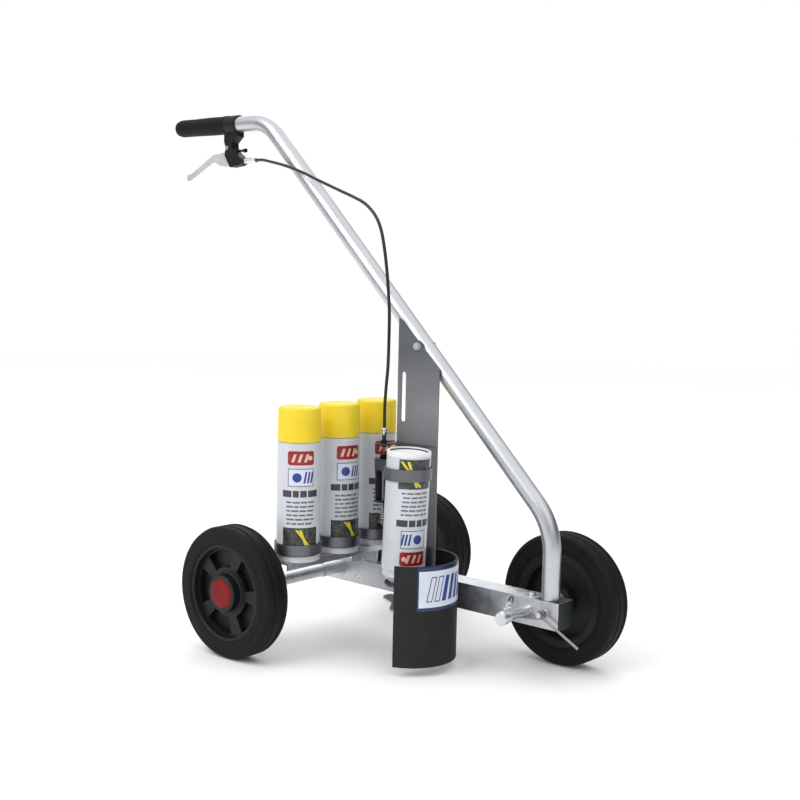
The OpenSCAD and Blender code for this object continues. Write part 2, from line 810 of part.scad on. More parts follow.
module brake_blade() {
    p = lever_pivot;
    y0 = tube_y - 4;
    y1 = tube_y + 4;
    color([0.78, 0.79, 0.80]) difference() {
        union() {
            rod_y(p[0], p[1], 6, y0, y1);
            plate_xz([[-309, 795], [-316, 789], [-321, 783], [-334, 781], [-349, 779],
                [-408, 748], [-417, 747], [-421, 741], [-416, 735], [-407, 737],
                [-346, 767], [-330, 760], [-312, 758], [-303, 760], [-301.5, 766],
                [-302, 784], [-303, 793]], y0, y1);
        }
        rod_y(p[0], p[1], 2.55, y0 - 1, y1 + 1);
        bar_x(tube_y, wire_z, 1.2, -312, -296);
    }
}

// ---------- guard, pointer and tether ----------
module spray_guard() {
    color([0.20, 0.20, 0.21]) difference() {
        translate([guard_x, guard_y, guard_z]) rotate([0, 0, guard_a0])
            rotate_extrude(angle = guard_a1 - guard_a0, $fn = 128)
                translate([guard_r - guard_t, 0]) square([guard_t, guard_height]);
        for (p = guard_bolts) rod_y(p[0], p[1], 3, 0, beam_y0);
    }
}

module guard_fixings() {
    y = guard_y + guard_r - guard_t - 0.5;
    color([0.82, 0.83, 0.85]) union() {
        box([194, y - 2, 82], [206, y, 114]);
        for (p = guard_bolts) {
            rod_y(p[0], p[1], 3, y - 3, beam_y0 + beam_sheet + 6);
            hex_y(p[0], p[1], 10, y - 6, y - 2);
            hex_y(p[0], p[1], 10, beam_y0 + beam_sheet, beam_y0 + beam_sheet + 5);
        }
    }
}

module pointer() {
    y = 2.4;
    rear = 60;
    color([0.66, 0.67, 0.69]) union() {
        tube_y_ring(tube_x, 100, 3.05, 6, y - 2, y + 3.4);
        translate([336, y, 87]) rotate([0, 82, 0]) {
            cylinder(h = rear, r = 2);
            translate([0, 0, rear]) {
                sphere(2.5);
                rotate([0, 36.4, 0]) cylinder(h = 67, r = 2);
            }
        }
    }
}

module chain_ring(r) {
    rotate_extrude() translate([r, 0]) circle(0.9, $fn = 24);
}

module tether_chain() {
    a = [331, 7.5, 110];
    b = [361, -41, 113.6];
    n = 6;
    color([0.80, 0.81, 0.82]) union() {
        for (i = [0 : n]) {
            p = a + (b - a) * i / n - [0, 0, 7 * sin(180 * i / n)];
            translate(p) rotate([i % 2 == 0 ? 90 : 0, 0, i == 0 ? 90 : -58]) chain_ring(5.2);
        }
        translate([front_x, -41, 99.5]) rotate([90, 0, 0]) chain_ring(8);
    }
}

home() wheel_right_tyre();
home() wheel_right_rim();
home() wheel_right_bush();
home() wheel_right_cap();
home() wheel_left_tyre();
home() wheel_left_rim();
home() wheel_left_bush();
home() wheel_left_cap();
home() wheel_front_tyre();
home() wheel_front_rim();
home() wheel_front_bush();
home() wheel_front_cap();
home() beam();
home() handle_tube();
home() handle_grip();
home() mast();
home() mast_bolt_set();
home() mast_base_bolts();
home() tube_bolt();
home() web_screw();
home() rear_axle();
home() axle_sleeves();
home() axle_collars();
home() front_axle();
home() front_spacer();
home() shelf();
home() shelf_bracket();
home() can_ring_1();
home() can_ring_2();
home() can_ring_3();
home() spare_can_1();
home() spare_can_2();
home() spare_can_3();
home() spare_button_1();
home() spare_button_2();
home() spare_button_3();
home() spare_cap_1();
home() spare_cap_2();
home() spare_cap_3();
home() use_can();
home() use_button();
home() carrier();
home() carrier_bolts();
home() can_clip();
home() can_seat();
home() cable_adjuster();
home() pull_clevis();
home() pull_rod();
home() nozzle_lever();
home() return_spring();
home() cable();
home() lever_bracket();
home() lever_screws();
home() stop_screw();
home() barrel_adjuster();
home() brake_blade();
home() spray_guard();
home() guard_fixings();
home() pointer();
home() tether_chain();
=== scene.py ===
"""Looks for a three-wheeled line striping machine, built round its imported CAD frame. Metres, Z up."""

import json
import math

import bmesh
import bpy
from mathutils import Matrix, Vector


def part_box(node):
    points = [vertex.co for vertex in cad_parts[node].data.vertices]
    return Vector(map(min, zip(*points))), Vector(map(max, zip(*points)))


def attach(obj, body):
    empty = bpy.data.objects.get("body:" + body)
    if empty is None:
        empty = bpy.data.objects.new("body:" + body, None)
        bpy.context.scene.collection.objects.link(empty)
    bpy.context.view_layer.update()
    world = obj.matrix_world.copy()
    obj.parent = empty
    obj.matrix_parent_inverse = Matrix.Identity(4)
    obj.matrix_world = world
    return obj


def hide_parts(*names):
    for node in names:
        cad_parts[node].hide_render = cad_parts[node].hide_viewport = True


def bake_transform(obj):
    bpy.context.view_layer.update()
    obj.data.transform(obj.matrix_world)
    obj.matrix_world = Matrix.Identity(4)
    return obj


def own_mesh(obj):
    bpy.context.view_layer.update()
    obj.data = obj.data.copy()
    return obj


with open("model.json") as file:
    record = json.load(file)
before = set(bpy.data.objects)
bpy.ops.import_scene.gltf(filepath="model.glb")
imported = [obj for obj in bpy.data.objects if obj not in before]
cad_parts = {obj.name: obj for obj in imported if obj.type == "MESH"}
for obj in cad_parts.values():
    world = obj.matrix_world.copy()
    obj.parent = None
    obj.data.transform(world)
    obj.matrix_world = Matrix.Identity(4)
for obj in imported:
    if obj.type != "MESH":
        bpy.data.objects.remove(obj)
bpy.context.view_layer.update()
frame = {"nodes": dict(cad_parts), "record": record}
nodes = frame["nodes"]
scene = bpy.context.scene
MM = 0.001
HOME = Vector((-8.5, 0, 0))  # millimetres from the drawing's origin to the row frame


def srgb(red, green, blue):
    """A colour given as the usual 0 to 255 numbers, as the linear colour that shaders take."""
    channels = [c / 255 for c in (red, green, blue)]
    linear = [c / 12.92 if c <= 0.04045 else ((c + 0.055) / 1.055) ** 2.4 for c in channels]
    return (*linear, 1.0)


# ---------- camera and light ----------
CAMERA_PLACE = Vector((1.3941, -1.4938, 0.5960))
CAMERA_AZIMUTH = math.radians(-49.30)
CAMERA_ELEVATION = math.radians(6.07)
CAMERA_ROLL = math.radians(1.24)
FOCAL_LENGTH = 57.65  # millimetres, on a sensor 36 mm wide


def make_camera():
    data = bpy.data.cameras.new("camera")
    data.sensor_width = 36
    data.lens = FOCAL_LENGTH
    data.clip_start = 0.01
    data.clip_end = 60
    camera = bpy.data.objects.new("camera", data)
    flat = math.cos(CAMERA_ELEVATION)
    back = Vector((
        math.cos(CAMERA_AZIMUTH) * flat,
        math.sin(CAMERA_AZIMUTH) * flat,
        math.sin(CAMERA_ELEVATION),
    ))
    right = Vector((0, 0, 1)).cross(back).normalized()
    turn = Matrix.Rotation(CAMERA_ROLL, 3, back)
    right = turn @ right
    up = back.cross(right)
    turned = Matrix((right, up, back)).transposed().to_4x4()
    camera.matrix_world = Matrix.Translation(CAMERA_PLACE) @ turned
    scene.collection.objects.link(camera)
    scene.camera = camera


def area_light(name, place, aim, size, watts):
    data = bpy.data.lights.new(name, "AREA")
    data.shape = "DISK"
    data.size = size
    data.energy = watts
    light = bpy.data.objects.new(name, data)
    light.location = place
    light.rotation_euler = (Vector(aim) - Vector(place)).to_track_quat("-Z", "Y").to_euler()
    scene.collection.objects.link(light)


FLAG_TOWARD = (0.65, 0.72, -0.24)  # the way to the middle of the dark flag


def make_world():
    """Pale above and grey below, with a dark flag that only reflections see."""
    world = bpy.data.worlds.new("studio")
    world.use_nodes = True
    tree = world.node_tree
    tree.nodes.clear()
    place = tree.nodes.new("ShaderNodeTexCoord")
    split = tree.nodes.new("ShaderNodeSeparateXYZ")
    height = tree.nodes.new("ShaderNodeValToRGB")
    ramp = height.color_ramp
    ramp.elements[0].position = 0.0
    ramp.elements[0].color = (0.30, 0.31, 0.33, 1)
    ramp.elements[1].position = 0.85
    ramp.elements[1].color = (1.25, 1.25, 1.25, 1)
    middle_stop = ramp.elements.new(0.35)
    middle_stop.color = (0.55, 0.56, 0.58, 1)
    toward = tree.nodes.new("ShaderNodeVectorMath")
    toward.operation = "DOT_PRODUCT"
    toward.inputs[1].default_value = FLAG_TOWARD
    flag = tree.nodes.new("ShaderNodeMapRange")
    flag.inputs["From Min"].default_value = 0.5
    flag.inputs["From Max"].default_value = 0.85
    flag.inputs["To Min"].default_value = 1.0
    flag.inputs["To Max"].default_value = 0.12
    strength = tree.nodes.new("ShaderNodeMix")
    strength.inputs["A"].default_value = 1.0
    lit = tree.nodes.new("ShaderNodeBackground")
    seen = tree.nodes.new("ShaderNodeBackground")
    seen.inputs["Color"].default_value = (1.0, 1.0, 1.0, 1)
    path = tree.nodes.new("ShaderNodeLightPath")
    mix = tree.nodes.new("ShaderNodeMixShader")
    out = tree.nodes.new("ShaderNodeOutputWorld")
    tree.links.new(place.outputs["Generated"], split.inputs[0])
    tree.links.new(split.outputs["Z"], height.inputs["Fac"])
    tree.links.new(height.outputs["Color"], lit.inputs["Color"])
    tree.links.new(place.outputs["Generated"], toward.inputs[0])
    tree.links.new(toward.outputs["Value"], flag.inputs["Value"])
    tree.links.new(path.outputs["Is Glossy Ray"], strength.inputs["Factor"])
    tree.links.new(flag.outputs["Result"], strength.inputs["B"])
    tree.links.new(strength.outputs["Result"], lit.inputs["Strength"])
    tree.links.new(path.outputs["Is Camera Ray"], mix.inputs["Fac"])
    tree.links.new(lit.outputs[0], mix.inputs[1])
    tree.links.new(seen.outputs[0], mix.inputs[2])
    tree.links.new(mix.outputs[0], out.inputs["Surface"])
    scene.world = world


make_camera()
make_world()
scene.view_settings.view_transform = "Standard"
area_light("key", (-0.6, -2.7, 2.6), (0, 0, 0.35), 2.6, 46)
area_light("fill", (3.0, -0.6, 2.2), (0, 0, 0.3), 2.4, 8)
area_light("back", (-2.2, 2.4, 2.4), (0, 0, 0.4), 1.8, 22)


# ---------- mesh helpers ----------
def new_piece(name, vertices, faces, body, looks=(), smooth=True):
    mesh = bpy.data.meshes.new(name)
    mesh.from_pydata([tuple(v) for v in vertices], [], faces)
    mesh.polygons.foreach_set("use_smooth", [smooth] * len(mesh.polygons))
    for look in looks:
        mesh.materials.append(look)
    mesh.update()
    piece = bpy.data.objects.new(name, mesh)
    scene.collection.objects.link(piece)
    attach(piece, body)
    return piece


def spline(points, steps):
    """A smooth line through the points, in about equal steps of each span."""
    line = []
    last = len(points) - 1
    for k in range(steps + 1):
        u = k * last / steps
        i = min(int(u), last - 1)
        t = u - i
        a, b, c, d = points[max(i - 1, 0)], points[i], points[i + 1], points[min(i + 2, last)]
        line.append(0.5 * (2 * b + (c - a) * t + (2 * a - 5 * b + 4 * c - d) * t**2
                           + (3 * b - a - 3 * c + d) * t**3))
    return line


def tube_mesh(line, radius, sides, up=Vector((0, 1, 0))):
    """Vertices and faces of a closed round tube along a line that is nowhere parallel to up."""
    vertices, faces = [], []
    for i, point in enumerate(line):
        ahead = line[min(i + 1, len(line) - 1)] - line[max(i - 1, 0)]
        side = ahead.cross(up).normalized()
        over = ahead.normalized().cross(side)
        for j in range(sides):
            angle = 2 * math.pi * j / sides
            vertices.append(point + radius * (math.cos(angle) * side + math.sin(angle) * over))
    for i in range(len(line) - 1):
        for j in range(sides):
            k = (j + 1) % sides
            faces.append((i * sides + j, i * sides + k, (i + 1) * sides + k, (i + 1) * sides + j))
    faces.append(tuple(reversed(range(sides))))
    faces.append(tuple(range(len(vertices) - sides, len(vertices))))
    return vertices, faces


def lathe(profile, x, y, sides):
    """Vertices and faces of a closed ring, its (radius, height) outline turned about an upright axis."""
    vertices = []
    for r, z in profile:
        for j in range(sides):
            angle = 2 * math.pi * j / sides
            vertices.append(Vector((x + r * math.cos(angle), y + r * math.sin(angle), z)))
    faces = []
    for i in range(len(profile)):
        n = (i + 1) % len(profile)
        for j in range(sides):
            k = (j + 1) % sides
            faces.append((i * sides + j, i * sides + k, n * sides + k, n * sides + j))
    return vertices, faces


# ---------- cable, ferrule, spring and a painted shadow ring in the can base, in place of or beside their CAD solids ---
# the cable's route in the drawing, millimetres: the same as that of its CAD solid
CABLE_ROUTE = [
    (-241.4, 27, 767), (-222, 24, 766.5), (-194, 16, 762), (-157, 8, 755), (-122, 4, 746),
    (-92, 0, 737), (-63, -4, 727), (-10, -8, 709), (25, -10, 697), (48, -11, 687),
    (69, -12, 670), (82, -12, 648), (91, -13, 618), (98, -14, 583), (102, -15, 557),
    (107, -17, 522), (109, -19, 474), (109, -20, 437), (108, -22, 407), (107, -23, 377),
    (107, -23, 341.5),
]
CABLE_RADIUS = 2.5 * MM


def make_cable(look):
    line = spline([(Vector(p) + HOME) * MM for p in CABLE_ROUTE], 240)
    vertices, faces = tube_mesh(line, CABLE_RADIUS, 20)
    cable = new_piece("brake_cable", vertices, faces, "frame", [look])
    cable.parent = None
    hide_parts("cable")
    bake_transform(cable)


# (radius, height over the adjuster's top), millimetres
FERRULE_OUTLINE = [(4.3, -8), (4.9, -7.6), (4.9, 1), (3.8, 3.2), (2.7, 3.2), (2.7, 0.4), (4.3, 0.4)]


def make_ferrule(look):
    """A bright sleeve where the cable meets its lower adjuster."""
    low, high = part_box("cable_adjuster")
    axis = (low + high) / 2
    profile = [(r * MM, high.z + z * MM) for r, z in FERRULE_OUTLINE]
    vertices, faces = lathe(profile, axis.x, axis.y, 40)
    new_piece("cable_ferrule", vertices, faces, "can_carrier", [look])


SPRING_WIRE = 0.7 * MM
SPRING_TURNS = 7


def make_spring(look):
    """The return spring as a smooth coil between the rod's collar and the carrier's guide."""
    low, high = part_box("return_spring")
    centre = (low + high) / 2
    coil = (high.x - low.x) / 2 - SPRING_WIRE
    rise = high.z - low.z - 2 * SPRING_WIRE
    steps = SPRING_TURNS * 28
    line = []
    for k in range(steps + 1):
        angle = 2 * math.pi * SPRING_TURNS * k / steps
        x = centre.x + coil * math.cos(angle)
        y = centre.y + coil * math.sin(angle)
        line.append(Vector((x, y, low.z + SPRING_WIRE + rise * k / steps)))
    vertices, faces = tube_mesh(line, SPRING_WIRE, 10, Vector((0, 0, 1)))
    spring = new_piece("smooth_spring", vertices, faces, "can_carrier", [look])
    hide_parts("return_spring")
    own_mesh(spring)


# the can in use: its base centre, and the way from its base to its nozzle
CAN_LEAN = math.radians(2.25)
UPTURNED_FOOT = (Vector((189.5, -60, 322)) + HOME) * MM
UPTURNED_AXIS = Vector((-math.sin(CAN_LEAN), 0, -math.cos(CAN_LEAN)))
# (radius, height over the base along the can), millimetres
PAINTED_SHADOW_RING_OUTLINE = [(29.1, 2.0), (28.9, 3.3), (27.8, 3.5), (27.8, 3.3), (28.5, 3.0), (28.7, 2.0)]


def make_base_painted_shadow_ring(look):
    """A painted shadow just inside the rim of the upturned can's base: a dark ring where the recess is in
    shade.
    """
    turn = UPTURNED_AXIS.to_track_quat("Z", "Y").to_matrix()
    vertices, faces = lathe([(r * MM, z * MM) for r, z in PAINTED_SHADOW_RING_OUTLINE], 0, 0, 96)
    vertices = [UPTURNED_FOOT + turn @ v for v in vertices]
    new_piece("base_painted_shadow_ring", vertices, faces, "can_in_use", [look])


# ---------- materials ----------
class Look:
    """A procedural material: textures in the piece's own space feed a Principled shader."""

    def __init__(self, name, **sockets):
        self.material = bpy.data.materials.new(name)
        self.material.use_nodes = True
        self.tree = self.material.node_tree
        self.shader = self.tree.nodes["Principled BSDF"]
        self.place = self.tree.nodes.new("ShaderNodeTexCoord").outputs["Object"]
        self.normal = None
        for socket, value in sockets.items():
            self.shader.inputs[socket.replace("_", " ")].default_value = value

    def stretched(self, scale):
        mapping = self.tree.nodes.new("ShaderNodeMapping")
        mapping.inputs["Scale"].default_value = scale
        self.tree.links.new(self.place, mapping.inputs["Vector"])
        return mapping.outputs["Vector"]

    def noise(self, scale, detail=3.0, roughness=0.5, distortion=0.0, stretch=None):
        texture = self.tree.nodes.new("ShaderNodeTexNoise")
        texture.inputs["Scale"].default_value = scale
        texture.inputs["Detail"].default_value = detail
        texture.inputs["Roughness"].default_value = roughness
        texture.inputs["Distortion"].default_value = distortion
        place = self.stretched(stretch) if stretch else self.place
        self.tree.links.new(place, texture.inputs["Vector"])
        return texture.outputs["Fac"]

    def cells(self, scale, stretch=None):
        """A random grey for each crystal-like cell."""
        texture = self.tree.nodes.new("ShaderNodeTexVoronoi")
        texture.inputs["Scale"].default_value = scale
        place = self.stretched(stretch) if stretch else self.place
        self.tree.links.new(place, texture.inputs["Vector"])
        split = self.tree.nodes.new("ShaderNodeSeparateColor")
        self.tree.links.new(texture.outputs["Color"], split.inputs["Color"])
        return split.outputs["Red"]

    def mixed(self, first, second, share):
        mix = self.tree.nodes.new("ShaderNodeMix")
        mix.inputs["Factor"].default_value = share
        self.tree.links.new(first, mix.inputs["A"])
        self.tree.links.new(second, mix.inputs["B"])
        return mix.outputs["Result"]

    def ramp(self, source, *stops):
        """A colour ramp from (position, colour) stops."""
        node = self.tree.nodes.new("ShaderNodeValToRGB")
        ramp = node.color_ramp
        while len(ramp.elements) < len(stops):
            ramp.elements.new(0.5)
        for element, (position, colour) in zip(ramp.elements, stops):
            element.position = position
            element.color = colour
        self.tree.links.new(source, node.inputs["Fac"])
        return node.outputs["Color"]

    def colour(self, source, *stops):
        self.tree.links.new(self.ramp(source, *stops), self.shader.inputs["Base Color"])

    def shade_to(self, colour, axis, start, end):
        """Blends the base colour to another one as a coordinate of the piece goes from start to end."""
        split = self.tree.nodes.new("ShaderNodeSeparateXYZ")
        self.tree.links.new(self.place, split.inputs[0])
        span = self.tree.nodes.new("ShaderNodeMapRange")
        span.inputs["From Min"].default_value = start
        span.inputs["From Max"].default_value = end
        self.tree.links.new(split.outputs[axis], span.inputs["Value"])
        mix = self.tree.nodes.new("ShaderNodeMixRGB")
        mix.inputs["Color2"].default_value = colour
        base = self.shader.inputs["Base Color"]
        self.tree.links.new(base.links[0].from_socket, mix.inputs["Color1"])
        self.tree.links.new(span.outputs["Result"], mix.inputs["Fac"])
        self.tree.links.new(mix.outputs["Color"], base)

    def gloss(self, source, low, high, start=0.3, end=0.7):
        """Roughness from low to high as the source goes from start to end."""
        span = self.tree.nodes.new("ShaderNodeMapRange")
        span.inputs["From Min"].default_value = start
        span.inputs["From Max"].default_value = end
        span.inputs["To Min"].default_value = low
        span.inputs["To Max"].default_value = high
        self.tree.links.new(source, span.inputs["Value"])
        self.tree.links.new(span.outputs["Result"], self.shader.inputs["Roughness"])

    def bump(self, source, depth, strength=1.0):
        node = self.tree.nodes.new("ShaderNodeBump")
        node.inputs["Strength"].default_value = strength
        node.inputs["Distance"].default_value = depth
        self.tree.links.new(source, node.inputs["Height"])
        if self.normal:
            self.tree.links.new(self.normal, node.inputs["Normal"])
        self.normal = node.outputs["Normal"]
        self.tree.links.new(self.normal, self.shader.inputs["Normal"])


def metal(name, dark, light, spangle=0, rough=(0.3, 0.45), streak=None, metallic=1.0, shade=None):
    """Bare or plated metal: spangle gives crystals of hot-dip zinc, streak draws the cloud out one way."""
    look = Look(name, Metallic=metallic)
    cloud = look.noise(14, detail=5, roughness=0.6)
    if spangle:
        tone = look.mixed(look.cells(spangle), cloud, 0.75)
    elif streak:
        tone = look.mixed(look.noise(60, detail=4, stretch=streak), cloud, 0.5)
    else:
        tone = cloud
    look.colour(tone, (0.25, dark), (0.75, light))
    if shade:
        look.shade_to(*shade)
    look.gloss(tone, *rough)
    look.bump(look.noise(900, detail=2), 0.00001)
    return look.material


def plastic(name, dark, light, rough=(0.35, 0.5), grain=700, depth=0.00004, shade=None, **sockets):
    """Moulded plastic, painted tin or ink: a faint cloud of two colours over a fine grain."""
    look = Look(name, **sockets)
    look.colour(look.noise(30, detail=5, roughness=0.6), (0.3, dark), (0.7, light))
    if shade:
        look.shade_to(*shade)
    look.gloss(look.noise(55, detail=4), *rough)
    look.bump(look.noise(grain, detail=3), depth)
    return look.material


def rubber(name, dark, light, dust=srgb(92, 92, 92)):
    """Black rubber with a fine moulded grain and a trace of dust in places."""
    look = Look(name, Specular_IOR_Level=0.18)
    cloud = look.noise(22, detail=8, roughness=0.65)
    look.colour(cloud, (0.3, dark), (0.62, light), (0.86, dust))
    look.gloss(cloud, 0.52, 0.72)
    look.bump(look.noise(1400, detail=2), 0.00005)
    look.bump(look.noise(160, detail=3), 0.00008)
    return look.material


ZINC = (srgb(186, 188, 191), srgb(214, 216, 218))
TIN = (srgb(196, 199, 204), srgb(208, 211, 215))
# colour, axis, and the two places in metres between which a piece turns to that colour
# painted shade: the mast's plate turns darker towards its top, standing in for the shade and dull
# reflection there
MAST_TOP_PAINTED_SHADE = (srgb(98, 101, 107), "Z", 0.38, 0.46)
# painted shade: the beam's front end face, turned away from the light, is coloured dark
BEAM_END_PAINTED_SHADE = (srgb(58, 62, 63), "X", 0.4061, 0.4063)
CAN_BASE_SHADE = (srgb(232, 233, 235), "Z", 0.3148, 0.3152)
looks = {
    "tyre_rubber": rubber("tyre_rubber", srgb(11, 11, 12), srgb(20, 20, 21), srgb(48, 48, 49)),
    "rim_plastic": plastic("rim_plastic", srgb(17, 18, 20), srgb(26, 27, 29), (0.42, 0.56), 500,
                           Specular_IOR_Level=0.28),
    "bush_nylon": plastic("bush_nylon", srgb(84, 83, 80), srgb(104, 103, 99)),
    "cap_red": plastic("cap_red", srgb(110, 8, 8), srgb(128, 12, 11), (0.45, 0.55),
                       Specular_IOR_Level=0.2),
    "galvanised": metal("galvanised", *ZINC, 120, (0.36, 0.5)),
    "mast_zinc": metal("mast_zinc", srgb(124, 127, 133), srgb(144, 147, 153), 0, (0.5, 0.6), (6, 6, 0.6),
                       metallic=0.35, shade=MAST_TOP_PAINTED_SHADE),
    "beam_zinc": metal("beam_zinc", *ZINC, 120, (0.36, 0.5), shade=BEAM_END_PAINTED_SHADE),
    "tube_zinc": metal("tube_zinc", srgb(188, 190, 193), srgb(206, 208, 211), 0, (0.34, 0.44), (1, 8, 1)),
    "plated_steel": metal("plated_steel", srgb(196, 198, 201), srgb(224, 226, 228), 0, (0.24, 0.36)),
    "dull_steel": metal("dull_steel", srgb(128, 127, 126), srgb(156, 154, 152), 0, (0.34, 0.5)),
    "grip_rubber": rubber("grip_rubber", srgb(11, 11, 12), srgb(20, 20, 22), srgb(32, 32, 34)),
    "grey_steel": metal("grey_steel", srgb(102, 104, 109), srgb(124, 126, 131), 0, (0.38, 0.5)),
    "can_tin": plastic("can_tin", *TIN, (0.28, 0.36), 300, 0.00001),
    "can_base": plastic("can_base", *TIN, (0.28, 0.36), 300, 0.00001, shade=CAN_BASE_SHADE),
    "button_plastic": plastic("button_plastic", srgb(226, 226, 220), srgb(238, 238, 234)),
    "cap_yellow": plastic("cap_yellow", srgb(234, 204, 34), srgb(242, 214, 48), (0.38, 0.5),
                          Specular_IOR_Level=0.4),
    "dark_metal": metal("dark_metal", srgb(52, 52, 54), srgb(78, 78, 81), 0, (0.4, 0.55)),
    "cable_sheath": plastic("cable_sheath", srgb(20, 19, 19), srgb(34, 31, 29), (0.28, 0.4)),
    "lever_black": plastic("lever_black", srgb(14, 14, 16), srgb(24, 24, 26), (0.4, 0.55),
                           Specular_IOR_Level=0.25),
    "lever_alloy": metal("lever_alloy", srgb(226, 227, 229), srgb(244, 245, 246), 0, (0.3, 0.42),
                         metallic=0.8),
    "guard_rubber": rubber("guard_rubber", srgb(32, 32, 33), srgb(42, 42, 44), srgb(54, 54, 56)),
}
INK_TONES = {
    "red": (srgb(138, 22, 26), srgb(160, 30, 34)),
    "blue": (srgb(36, 54, 130), srgb(46, 66, 148)),
    "navy": (srgb(26, 38, 80), srgb(34, 48, 94)),
    "white": (srgb(206, 214, 228), srgb(216, 222, 232)),
    "grey": (srgb(84, 88, 98), srgb(108, 113, 124)),
    "dark": (srgb(44, 46, 54), srgb(62, 66, 76)),
    "yellow": (srgb(206, 192, 40), srgb(226, 212, 62)),
    "cream": (srgb(214, 178, 160), srgb(230, 200, 184)),
}
inks = {name: plastic(f"ink_{name}", *tones, (0.3, 0.4)) for name, tones in INK_TONES.items()}


def picture_ink():
    """A blurred dark view of road and verge for the picture band of a can label."""
    look = Look("ink_picture")
    tone = look.noise(130, detail=5, roughness=0.7, distortion=0.6)
    look.colour(tone, (0.34, srgb(20, 22, 17)), (0.5, srgb(52, 55, 42)), (0.62, srgb(78, 86, 92)),
                (0.78, srgb(140, 140, 116)))
    look.gloss(tone, 0.3, 0.4)
    return look.material


inks["picture"] = picture_ink()
NODE_LOOKS = {
    "mast": "mast_zinc",
    "beam": "beam_zinc",
    "use_can": "can_base",
    "pointer": "dull_steel",
    "pull_rod": "dull_steel",
    "nozzle_lever": "galvanised",
}


def dress_cad_nodes():
    """Every CAD node gets the look of its material slot in the record, or a look of its own."""
    for row in frame["record"]["subparts"]:
        mesh = nodes[row["node"]].data
        mesh.materials.clear()
        mesh.materials.append(looks[NODE_LOOKS.get(row["node"], row["material_slot"])])


# ---------- printed labels, made as thin inked films that follow a round wall ----------
def rectangle(left, low, right, high):
    return [(left, low), (right, low), (right, high), (left, high)]


def slanted(left, low, right, high, lean):
    return [(left, low), (right, low), (right + lean, high), (left + lean, high)]


def outline_of(shape, width):
    """The four sides of a rectangle() or slanted() shape as strips of the given width."""
    (left, low), (right, _), (right_top, high), (left_top, _) = shape
    lean = width * (left_top - left) / (high - low)
    foot = low + width
    head = high - width
    a, b = left + lean, right + lean
    c, d = left_top - lean, right_top - lean
    return [
        [(left, low), (right, low), (b, foot), (a, foot)],
        [(c, head), (d, head), (right_top, high), (left_top, high)],
        [(a, foot), (a + width, foot), (c + width, head), (c, head)],
        [(b - width, foot), (b, foot), (d, head), (d - width, head)],
    ]


def rounded(left, low, right, high, radius):
    """A rectangle with its corners rounded off."""
    points = []
    corners = ((right, high, 0), (left, high, 90), (left, low, 180), (right, low, 270))
    for x, y, start in corners:
        cx = x - math.copysign(radius, x - (left + right) / 2)
        cy = y - math.copysign(radius, y - (low + high) / 2)
        for step in range(5):
            angle = math.radians(start + 22.5 * step)
            points.append((cx + radius * math.cos(angle), cy + radius * math.sin(angle)))
    return points


def circle_points(x, y, radius, count):
    angles = [2 * math.pi * k / count for k in range(count)]
    return [(x + radius * math.cos(angle), y + radius * math.sin(angle)) for angle in angles]


# in millimetres: how far a label's inks stand off its wall, and the thickness and strips of one film
FIRST_COAT = 0.05
SECOND_COAT = 0.12
THIRD_COAT = 0.19
FILM_THICKNESS = 0.05
STRIP_WIDTH = 1.6


def film(shape, level, place):
    """One inked shape: cut into narrow strips, given a thickness and laid on the round wall by place()."""
    film_mesh = bmesh.new()
    film_mesh.faces.new([film_mesh.verts.new((u, v, 0)) for u, v in shape])
    first = min(u for u, _ in shape)
    last = max(u for u, _ in shape)
    cuts = max(1, int((last - first) / STRIP_WIDTH))
    for k in range(1, cuts):
        geometry = film_mesh.verts[:] + film_mesh.edges[:] + film_mesh.faces[:]
        cut = first + (last - first) * k / cuts
        bmesh.ops.bisect_plane(film_mesh, geom=geometry, plane_co=(cut, 0, 0), plane_no=(1, 0, 0))
    flat = film_mesh.faces[:]
    raised = bmesh.ops.extrude_face_region(film_mesh, geom=flat)["geom"]
    top = {item for item in raised if isinstance(item, bmesh.types.BMVert)}
    for vertex in film_mesh.verts:
        height = level + (FILM_THICKNESS if vertex in top else 0.0)
        vertex.co = place(vertex.co.x, vertex.co.y, height)
    bmesh.ops.recalc_face_normals(film_mesh, faces=film_mesh.faces[:])
    return film_mesh


def make_label(name, body, films, place):
    """A label from (ink, level, shape) films; a higher level lies further out from the wall."""
    whole = bpy.data.meshes.new(name)
    used = sorted({ink for ink, _, _ in films})
    gathered = bmesh.new()
    for ink, level, shape in films:
        part = film(shape, level, place)
        for face in part.faces:
            face.material_index = used.index(ink)
        scratch = bpy.data.meshes.new("scratch")
        part.to_mesh(scratch)
        part.free()
        gathered.from_mesh(scratch)
        bpy.data.meshes.remove(scratch)
    gathered.to_mesh(whole)
    gathered.free()
    for ink in used:
        whole.materials.append(inks[ink])
    piece = bpy.data.objects.new(name, whole)
    scene.collection.objects.link(piece)
    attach(piece, body)
    return piece


def round_wall(foot, axis, facing, radius):
    """Gives the function that turns (along, up, above) the wall in millimetres into a point in metres."""
    side = axis.cross(facing)

    def place(across, up, above):
        angle = across / radius
        outward = facing * math.cos(angle) + side * math.sin(angle)
        return foot + (axis * up + outward * (radius + above)) * MM

    return place


